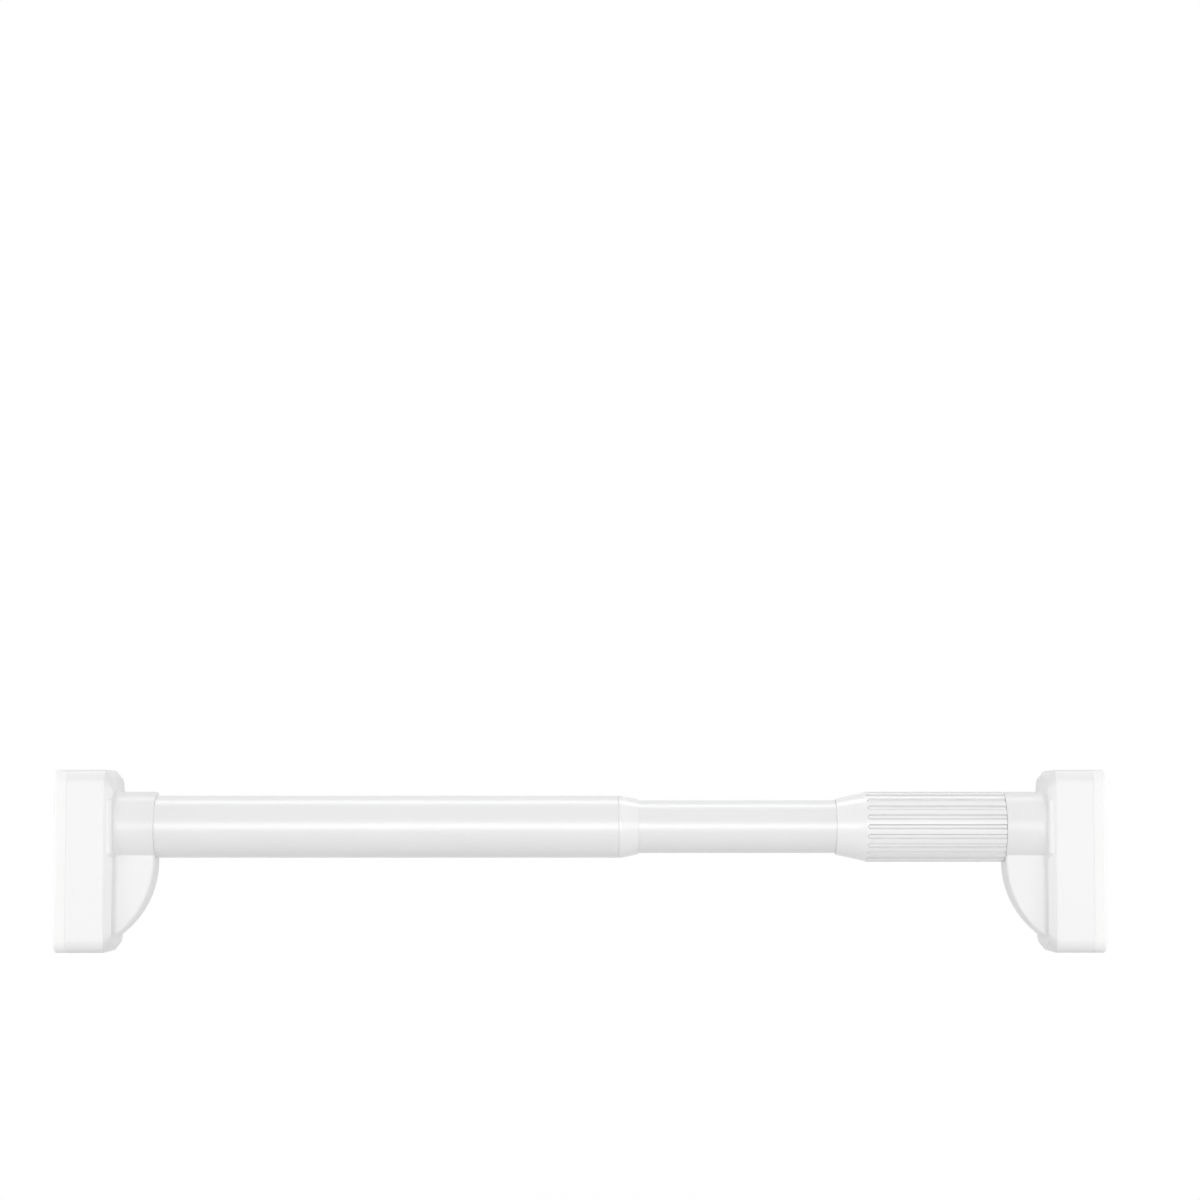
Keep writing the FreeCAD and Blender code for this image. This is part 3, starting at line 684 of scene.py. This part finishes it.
@dataclass
class WallPad:
    """A soft pad with rounded edges, a grooved tread and rows of small studs. Sizes in millimetres."""

    node: str
    body: str
    faces_left: bool
    wall_x: float
    half_width: float = 25.0
    top: float = 29.0
    bottom: float = 64.0
    corner: float = 6.5
    corner_steps: int = 8
    thickness: float = 6.5
    edge_round: float = 1.8
    edge_steps: int = 8
    seam_round: float = 0.25
    seam_steps: int = 3
    plug_inset: float = 2.65
    plug_depth: float = 2.0
    stud_height: float = 0.3
    stud_radius: float = 0.7
    stud_pitch: float = 2.3
    stud_columns: int = 17
    stud_rows: int = 3
    stud_segments: int = 10
    stud_rings: int = 6
    land_pitch: float = 9.0
    lands: int = 9
    lowest_land: float = -54.0
    groove_reach: float = 19.2
    groove_half: float = 0.8
    groove_depth: float = 0.8
    groove_wall: float = 0.35
    groove_wall_steps: int = 4
    groove_steps: int = 4
    groove_end_steps: int = 8

    def groove_lines(self) -> list[float]:
        """Heights of the grooves, one between each two lands."""
        return [self.lowest_land + (i + 0.5) * self.land_pitch for i in range(self.lands - 1)]

    def depth_at(self, across: float, height: float) -> float:
        """Depth of the wall face below the studs' tips.

        Args:
            across: Distance from the foot's middle plane.
            height: Height above the rod's axis.

        Returns:
            The depth at this place.
        """
        line = min(self.groove_lines(), key=lambda z: abs(z - height))
        beyond = max(abs(across) - self.groove_reach, 0.0)
        away = math.hypot(beyond, height - line)
        share = smoothstep((self.groove_half + self.groove_wall / 2 - away) / self.groove_wall)
        return self.stud_height + self.groove_depth * share

    def heights(self) -> list[tuple[float, float, float]]:
        """Rows of the flat face, closest together at the grooves' walls and round the corners.

        Returns:
            Height, half width of the row, and the angle of its outward normal.
        """
        flat_half = self.half_width - self.edge_round
        arc = self.corner - self.edge_round
        turns = quarter_turn(self.corner_steps)
        upper = self.top - self.corner
        lower = self.corner - self.bottom
        rows = [(lower - arc * math.sin(a), flat_half - arc + arc * math.cos(a), -a) for a in reversed(turns)]
        low, high = self.groove_half - self.groove_wall / 2, self.groove_half + self.groove_wall / 2
        steps = spaced(low, high, self.groove_wall_steps) + [high]
        for line in self.groove_lines():
            offsets = [-step for step in reversed(steps)] + [0.0] + steps
            rows += [(line + offset, flat_half, 0.0) for offset in offsets]
        rows += [(upper + arc * math.sin(a), flat_half - arc + arc * math.cos(a), a) for a in turns]
        return rows

    def columns(self) -> list[float]:
        """Places across the flat face, closest together at the grooves' ends.

        Returns:
            Shares of the row's half width.
        """
        flat_half = self.half_width - self.edge_round
        end = self.groove_reach + self.groove_half + self.groove_wall / 2
        right = spaced(0, self.groove_reach, self.groove_steps)
        right += spaced(self.groove_reach, end, self.groove_end_steps) + [end, flat_half]
        return [-y / flat_half for y in reversed(right[1:])] + [y / flat_half for y in right]

    def body_mesh(self) -> bpy.types.Mesh:
        """The pad without its studs: treaded face, rounded edge, side, seam and plug.

        Returns:
            The mesh, in metres, facing left with its studs' tips at x = 0.
        """
        rows, columns = self.heights(), self.columns()
        wide = len(columns)
        points: list[Point] = [
            (self.depth_at(share * half, height), share * half, height) for height, half, _ in rows for share in columns
        ]
        faces = [
            (low, low + wide, low + wide + 1, low + 1)
            for row in range(len(rows) - 1)
            for low in range(row * wide, row * wide + wide - 1)
        ]
        rim, normals = self.rim(rows, wide)
        last = rim
        for depth, inset in self.side_rings():
            ring = []
            for index, (across, up) in zip(rim, normals):
                _, y, z = points[index]
                out = self.edge_round - inset
                ring.append(len(points))
                points.append((depth, y + across * out, z + up * out))
            for i in range(len(rim)):
                after = (i + 1) % len(rim)
                faces.append((last[i], ring[i], ring[after], last[after]))
            last = ring
        faces.append(tuple(last))
        mesh = bpy.data.meshes.new(self.node + "_body")
        mesh.from_pydata([tuple(c * MM for c in point) for point in points], [], faces)
        return mesh

    def rim(self, rows: Sequence[tuple[float, float, float]], wide: int) -> tuple[list[int], list[tuple[float, float]]]:
        """Walks once round the flat face's edge.

        Args:
            rows: The face's rows.
            wide: Number of points in a row.

        Returns:
            The edge's point numbers, and the outward direction at each, as (y, z).
        """
        last = len(rows) - 1
        walk = [(i, (0.0, -1.0)) for i in range(1, wide - 1)]
        walk += [(row * wide + wide - 1, (math.cos(rows[row][2]), math.sin(rows[row][2]))) for row in range(last + 1)]
        walk += [(last * wide + i, (0.0, 1.0)) for i in range(wide - 2, 0, -1)]
        walk += [(row * wide, (-math.cos(rows[row][2]), math.sin(rows[row][2]))) for row in range(last, -1, -1)]
        return [index for index, _ in walk], [direction for _, direction in walk]

    def side_rings(self) -> list[tuple[float, float]]:
        """Rings from the flat face round the edge to the plug's end.

        Returns:
            Depth and inset of each ring.
        """
        edge_depth = self.edge_round - self.stud_height
        edge = [
            (self.edge_round - edge_depth * math.cos(a), self.edge_round * (1 - math.sin(a)))
            for a in quarter_turn(self.edge_steps)[1:]
        ]
        seam = [
            (self.thickness - self.seam_round * (1 - math.sin(a)), self.seam_round * (1 - math.cos(a)))
            for a in quarter_turn(self.seam_steps)
        ]
        end = self.thickness + self.plug_depth
        return edge + seam + [(self.thickness, self.plug_inset), (end, self.plug_inset)]

    def tree(self, material: bpy.types.Material) -> GeometryTree:
        """Tree that sets panels of studs on the lands of the tread and joins them to the pad.

        Args:
            material: The pad's finish.

        Returns:
            The tree.
        """
        sizes = {
            "Stud Radius": self.stud_radius * MM, "Stud Height": self.stud_height * MM,
            "Stud Pitch": self.stud_pitch * MM, "Columns": self.stud_columns, "Rows": self.stud_rows,
            "Land Pitch": self.land_pitch * MM, "Lands": self.lands, "Lowest Land": self.lowest_land * MM,
            "Finish": material,
        }
        made = GeometryTree("stud_tread", sizes)
        given = made.given
        dome = made.node(
            "GeometryNodeMeshUVSphere", {"Segments": self.stud_segments, "Rings": self.stud_rings, "Radius": 1.0},
        )
        panel = made.node("GeometryNodeMeshGrid", {"Vertices X": given["Rows"], "Vertices Y": given["Columns"]})
        for count, size in (("Rows", "Size X"), ("Columns", "Size Y")):
            gaps = made.maths("SUBTRACT", given[count], 1.0)
            made.feed(panel, {size: made.maths("MULTIPLY", gaps, given["Stud Pitch"])})
        turned = {"Geometry": panel.outputs["Mesh"], "Rotation": (0.0, math.pi / 2, 0.0)}
        upright = made.node("GeometryNodeTransform", turned)
        radius = given["Stud Radius"]
        studs = made.node(
            "GeometryNodeInstanceOnPoints",
            {
                "Points": upright.outputs["Geometry"], "Instance": dome.outputs["Mesh"],
                "Scale": made.vector(given["Stud Height"], radius, radius),
            },
        )
        lands = made.node(
            "GeometryNodeMeshLine",
            {
                "Count": given["Lands"], "Offset": made.vector(0.0, 0.0, given["Land Pitch"]),
                "Start Location": made.vector(given["Stud Height"], 0.0, given["Lowest Land"]),
            },
            mode="OFFSET",
        )
        panels = made.node(
            "GeometryNodeInstanceOnPoints", {"Points": lands.outputs["Mesh"], "Instance": studs.outputs["Instances"]},
        )
        joined = made.node("GeometryNodeJoinGeometry", {"Geometry": given["Geometry"]})
        made.feed(joined, {"Geometry": panels.outputs["Instances"]})
        made.close(joined.outputs["Geometry"])
        return made

    def build(self, material: bpy.types.Material) -> bpy.types.Object:
        """Builds the pad and sets it in the place of its plain node.

        Args:
            material: The pad's finish.

        Returns:
            The piece.
        """
        piece = self.tree(material).grow("studded_" + self.node, self.body_mesh())
        if not self.faces_left:
            piece.data.transform(Matrix.Diagonal((-1.0, 1.0, 1.0, 1.0)))
            piece.data.flip_normals()
        piece.data.transform(Matrix.Translation((self.wall_x * MM, 0.0, 0.0)))
        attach(piece, self.body)
        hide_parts(self.node)
        return piece


@dataclass
class PressureSpring:
    """A compression spring of round wire with closed ends. Sizes in millimetres."""

    start_x: float
    length: float = 40.0
    mean_radius: float = 9.4
    wire_radius: float = 1.2
    turns: float = 7.5
    closed_turns: float = 1.1
    points_per_turn: int = 40
    wire_sides: int = 16
    kept_share: float = 0.75

    def tree(self, material: bpy.types.Material) -> GeometryTree:
        """Tree that bends a line into the coil and gives it its round wire.

        Args:
            material: The wire's finish.

        Returns:
            The tree.
        """
        sizes = {
            "Start": self.start_x * MM, "Length": self.length * MM, "Mean Radius": self.mean_radius * MM,
            "Wire Radius": self.wire_radius * MM, "Turns": self.turns, "Closed Turns": self.closed_turns,
            "Points": int(self.turns * self.points_per_turn) + 1, "Wire Sides": self.wire_sides, "Finish": material,
        }
        made = GeometryTree("coil", sizes)
        given = made.given
        line = made.node("GeometryNodeMeshLine", {"Count": given["Points"]}, mode="OFFSET")
        index = made.node("GeometryNodeInputIndex").outputs[0]
        along = made.maths("DIVIDE", index, made.maths("SUBTRACT", given["Points"], 1.0))
        turn = made.maths("MULTIPLY", along, given["Turns"])
        angle = made.maths("MULTIPLY", turn, math.tau)
        wire_width = made.maths("MULTIPLY", given["Wire Radius"], 2.0)
        closed = given["Closed Turns"]
        first = made.maths("MULTIPLY", made.maths("MINIMUM", turn, closed), wire_width)
        last_turn = made.maths("SUBTRACT", given["Turns"], closed)
        beyond = made.maths("MAXIMUM", made.maths("SUBTRACT", turn, last_turn), 0.0)
        last = made.maths("MULTIPLY", beyond, wire_width)
        open_turns = made.maths("SUBTRACT", last_turn, closed)
        opened = made.maths("DIVIDE", made.maths("SUBTRACT", turn, closed), open_turns)
        share = made.node("ShaderNodeClamp", {"Value": opened}).outputs["Result"]
        closed_length = made.maths("MULTIPLY", made.maths("ADD", made.maths("MULTIPLY", closed, 2.0), 1.0), wire_width)
        open_length = made.maths("SUBTRACT", given["Length"], closed_length)
        reach = made.maths("ADD", made.maths("ADD", first, last), made.maths("MULTIPLY", share, open_length))
        x = made.maths("ADD", made.maths("ADD", reach, given["Start"]), given["Wire Radius"])
        y, z = (made.maths("MULTIPLY", made.maths(wave, angle), given["Mean Radius"]) for wave in ("COSINE", "SINE"))
        coil = made.vector(x, y, z)
        bent = made.node("GeometryNodeSetPosition", {"Geometry": line.outputs["Mesh"], "Position": coil})
        curve = made.node("GeometryNodeMeshToCurve", {"Mesh": bent.outputs["Geometry"]})
        section = made.node(
            "GeometryNodeCurvePrimitiveCircle", {"Resolution": given["Wire Sides"], "Radius": given["Wire Radius"]},
        )
        wire = made.node(
            "GeometryNodeCurveToMesh",
            {"Curve": curve.outputs["Curve"], "Profile Curve": section.outputs["Curve"], "Fill Caps": True},
        )
        made.close(wire.outputs["Mesh"])
        return made

    def build(self, material: bpy.types.Material) -> bpy.types.Object:
        """Builds the coil and hangs it on the inner body.

        Args:
            material: The wire's finish.

        Returns:
            The piece.
        """
        piece = self.tree(material).grow("round_wire_spring", bpy.data.meshes.new("coil_seed"))
        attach(piece, "inner_body")
        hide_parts("pressure_spring")
        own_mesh(piece)
        return piece


@dataclass(frozen=True)
class Softbox:
    """A soft rectangular studio lamp. Places and sizes in metres."""

    name: str
    place: Point
    target: Point
    width: float
    height: float
    radiance: float

    def hang(self) -> bpy.types.Object:
        """Makes the lamp and turns it to its target.

        Returns:
            The lamp's object.
        """
        data = bpy.data.lights.new(self.name, "AREA")
        data.shape = "RECTANGLE"
        data.size = self.width
        data.size_y = self.height
        data.energy = self.radiance * math.pi * self.width * self.height
        lamp = bpy.data.objects.new(self.name, data)
        lamp.location = self.place
        lamp.rotation_mode = "QUATERNION"
        lamp.rotation_quaternion = (Vector(self.target) - Vector(self.place)).to_track_quat("-Z", "Y")
        bpy.context.scene.collection.objects.link(lamp)
        return lamp


@dataclass
class Studio:
    """Plain pale floor, soft lamps, white surroundings and the camera of the photograph. Sizes in metres."""

    axis_middle: float
    floor_height: float = -0.30
    floor_reach: float = 8.0
    floor_colour: Colour = (0.68, 0.68, 0.68)
    floor_glow: float = 0.80
    fade_from: float = 0.35
    fade_to: float = 1.05
    ambient: float = 0.53
    camera_distance: float = 1.6
    picture_side: float = 1200.0
    pixels_per_mm: float = 1.9375
    rod_pixel: tuple[float, float] = (580.5, 827.3)
    sensor: float = 36.0

    def white_to_eye(self, bench: NodeBench) -> Socket:
        """A value that is 1 where the camera or a mirror image looks, and 0 for the light itself.

        Args:
            bench: The nodes of the tree that the value is used in.

        Returns:
            The value's socket.
        """
        path = bench.node("ShaderNodeLightPath").outputs
        value = path["Is Camera Ray"]
        for ray in ("Is Glossy Ray", "Is Transmission Ray"):
            value = bench.maths("MAXIMUM", value, path[ray])
        return value

    def surround(self) -> None:
        """White for the eye, and an even soft light for everything else."""
        world = bpy.data.worlds.new("studio_air")
        bpy.context.scene.world = world
        world.use_nodes = True
        bench, nodes = NodeBench(world.node_tree), world.node_tree.nodes
        light = nodes["Background"]
        bench.feed(light, {"Color": WHITE, "Strength": self.ambient})
        white = bench.node("ShaderNodeBackground", {"Color": WHITE, "Strength": 1.0})
        feeds = {"Fac": self.white_to_eye(bench), 1: light.outputs[0], 2: white.outputs[0]}
        bench.feed(nodes["World Output"], {"Surface": bench.node("ShaderNodeMixShader", feeds).outputs[0]})

    def fade(self, bench: NodeBench) -> Socket:
        """Share of pure white in the floor's look, which grows with the distance from the rod.

        Args:
            bench: The nodes of the floor's tree.

        Returns:
            The share's socket.
        """
        place = bench.node("ShaderNodeTexCoord").outputs["Object"]
        centre = (self.axis_middle, 0.0, self.floor_height)
        centred = bench.node("ShaderNodeVectorMath", {0: place, 1: centre}, operation="SUBTRACT")
        distance = bench.node("ShaderNodeVectorMath", {0: centred.outputs["Vector"]}, operation="LENGTH")
        share = bench.node(
            "ShaderNodeMapRange",
            {
                "Value": distance.outputs["Value"], "From Min": self.fade_from, "From Max": self.fade_to,
                "To Min": self.floor_glow,
            },
            interpolation_type="SMOOTHSTEP",
        )
        return share.outputs["Result"]

    def lay_floor(self) -> bpy.types.Object:
        """Lays the pale floor, which the rod's soft shadow falls on.

        Returns:
            The floor.
        """
        reach, height = self.floor_reach, self.floor_height
        mesh = bpy.data.meshes.new("floor")
        outline = [(-reach, -reach, height), (reach, -reach, height), (reach, reach, height), (-reach, reach, height)]
        mesh.from_pydata(outline, [], [(0, 1, 2, 3)])
        floor = bpy.data.objects.new("floor", mesh)
        bpy.context.scene.collection.objects.link(floor)
        material = bpy.data.materials.new("floor_paint")
        material.use_nodes = True
        bench, nodes = NodeBench(material.node_tree), material.node_tree.nodes
        nodes.remove(nodes["Principled BSDF"])
        paint = bench.node("ShaderNodeBsdfDiffuse", {"Color": (*self.floor_colour, 1.0)})
        glow = bench.node("ShaderNodeEmission", {"Strength": 1.0})
        share = bench.maths("MULTIPLY", self.white_to_eye(bench), self.fade(bench))
        choice = bench.node("ShaderNodeMixShader", {"Fac": share, 1: paint.outputs[0], 2: glow.outputs[0]})
        bench.feed(nodes["Material Output"], {"Surface": choice.outputs[0]})
        mesh.materials.append(material)
        floor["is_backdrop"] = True
        return floor

    def hang_lamps(self) -> list[bpy.types.Object]:
        """Hangs the softboxes: overhead, in front, at each side of the camera and beyond each end of the rod.

        Returns:
            The lamps.
        """
        x = self.axis_middle
        middle = (x, 0.0, 0.0)
        boxes = (
            Softbox("overhead_softbox", (x, 0.45, 1.9), middle, width=1.8, height=0.5, radiance=2.7),
            Softbox("front_softbox", (x, -2.3, -0.1), middle, width=1.4, height=1.2, radiance=3.7),
            Softbox("left_front_softbox", (x - 1.3, -1.9, 0.1), middle, width=1.1, height=1.1, radiance=1.4),
            Softbox("right_front_softbox", (x + 1.3, -1.9, 0.1), middle, width=1.1, height=1.1, radiance=1.4),
            Softbox("left_end_softbox", (x - 0.9, -0.1, 0.0), middle, width=0.2, height=0.3, radiance=5.3),
            Softbox("right_end_softbox", (x + 0.9, -0.1, 0.0), middle, width=0.2, height=0.3, radiance=5.3),
        )
        return [box.hang() for box in boxes]

    def set_camera(self) -> bpy.types.Object:
        """Sets the camera level with the rod, turned a little so that the rod lies low in the picture.

        Returns:
            The camera.
        """
        centre = self.picture_side / 2
        right = (centre - self.rod_pixel[0]) / self.pixels_per_mm * MM
        up = (self.rod_pixel[1] - centre) / self.pixels_per_mm * MM
        data = bpy.data.cameras.new("photo_camera")
        data.sensor_width = self.sensor
        aim = Vector((right, self.camera_distance, up))
        depth = self.camera_distance**2 / aim.length
        data.lens = self.sensor * depth * self.pixels_per_mm / MM / self.picture_side
        camera = bpy.data.objects.new("photo_camera", data)
        camera.location = (self.axis_middle, -self.camera_distance, 0.0)
        camera.rotation_mode = "QUATERNION"
        camera.rotation_quaternion = aim.to_track_quat("-Z", "Y")
        bpy.context.scene.collection.objects.link(camera)
        bpy.context.scene.camera = camera
        return camera

    def build(self) -> None:
        """Builds the whole studio."""
        self.surround()
        self.lay_floor()
        self.hang_lamps()
        self.set_camera()
        bpy.context.scene.view_settings.view_transform = "Standard"


def main() -> None:
    """Dresses the rod, adds its detailed pieces and sets up the studio."""
    logging.basicConfig(level=logging.INFO, format="%(message)s")
    cad_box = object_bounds()
    wardrobe = Wardrobe(FINISHES)
    wardrobe.dress_nodes(frame["nodes"], frame["record"]["subparts"])
    grip_low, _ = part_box("twist_grip")
    TwistGrip(lip_x=grip_low.x / MM).build(wardrobe.materials["grip_plastic"])
    for node, body in (("left_pad", "outer_body"), ("right_pad", "right_foot")):
        low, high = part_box(node)
        faces_left = node == "left_pad"
        wall = low.x if faces_left else high.x
        WallPad(node, body, faces_left, wall / MM).build(wardrobe.materials["pad"])
    spring_low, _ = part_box("pressure_spring")
    PressureSpring(start_x=spring_low.x / MM).build(wardrobe.materials["spring_steel"])
    Studio(axis_middle=(cad_box[0].x + cad_box[1].x) / 2).build()


if __name__ == "__main__":
    main()
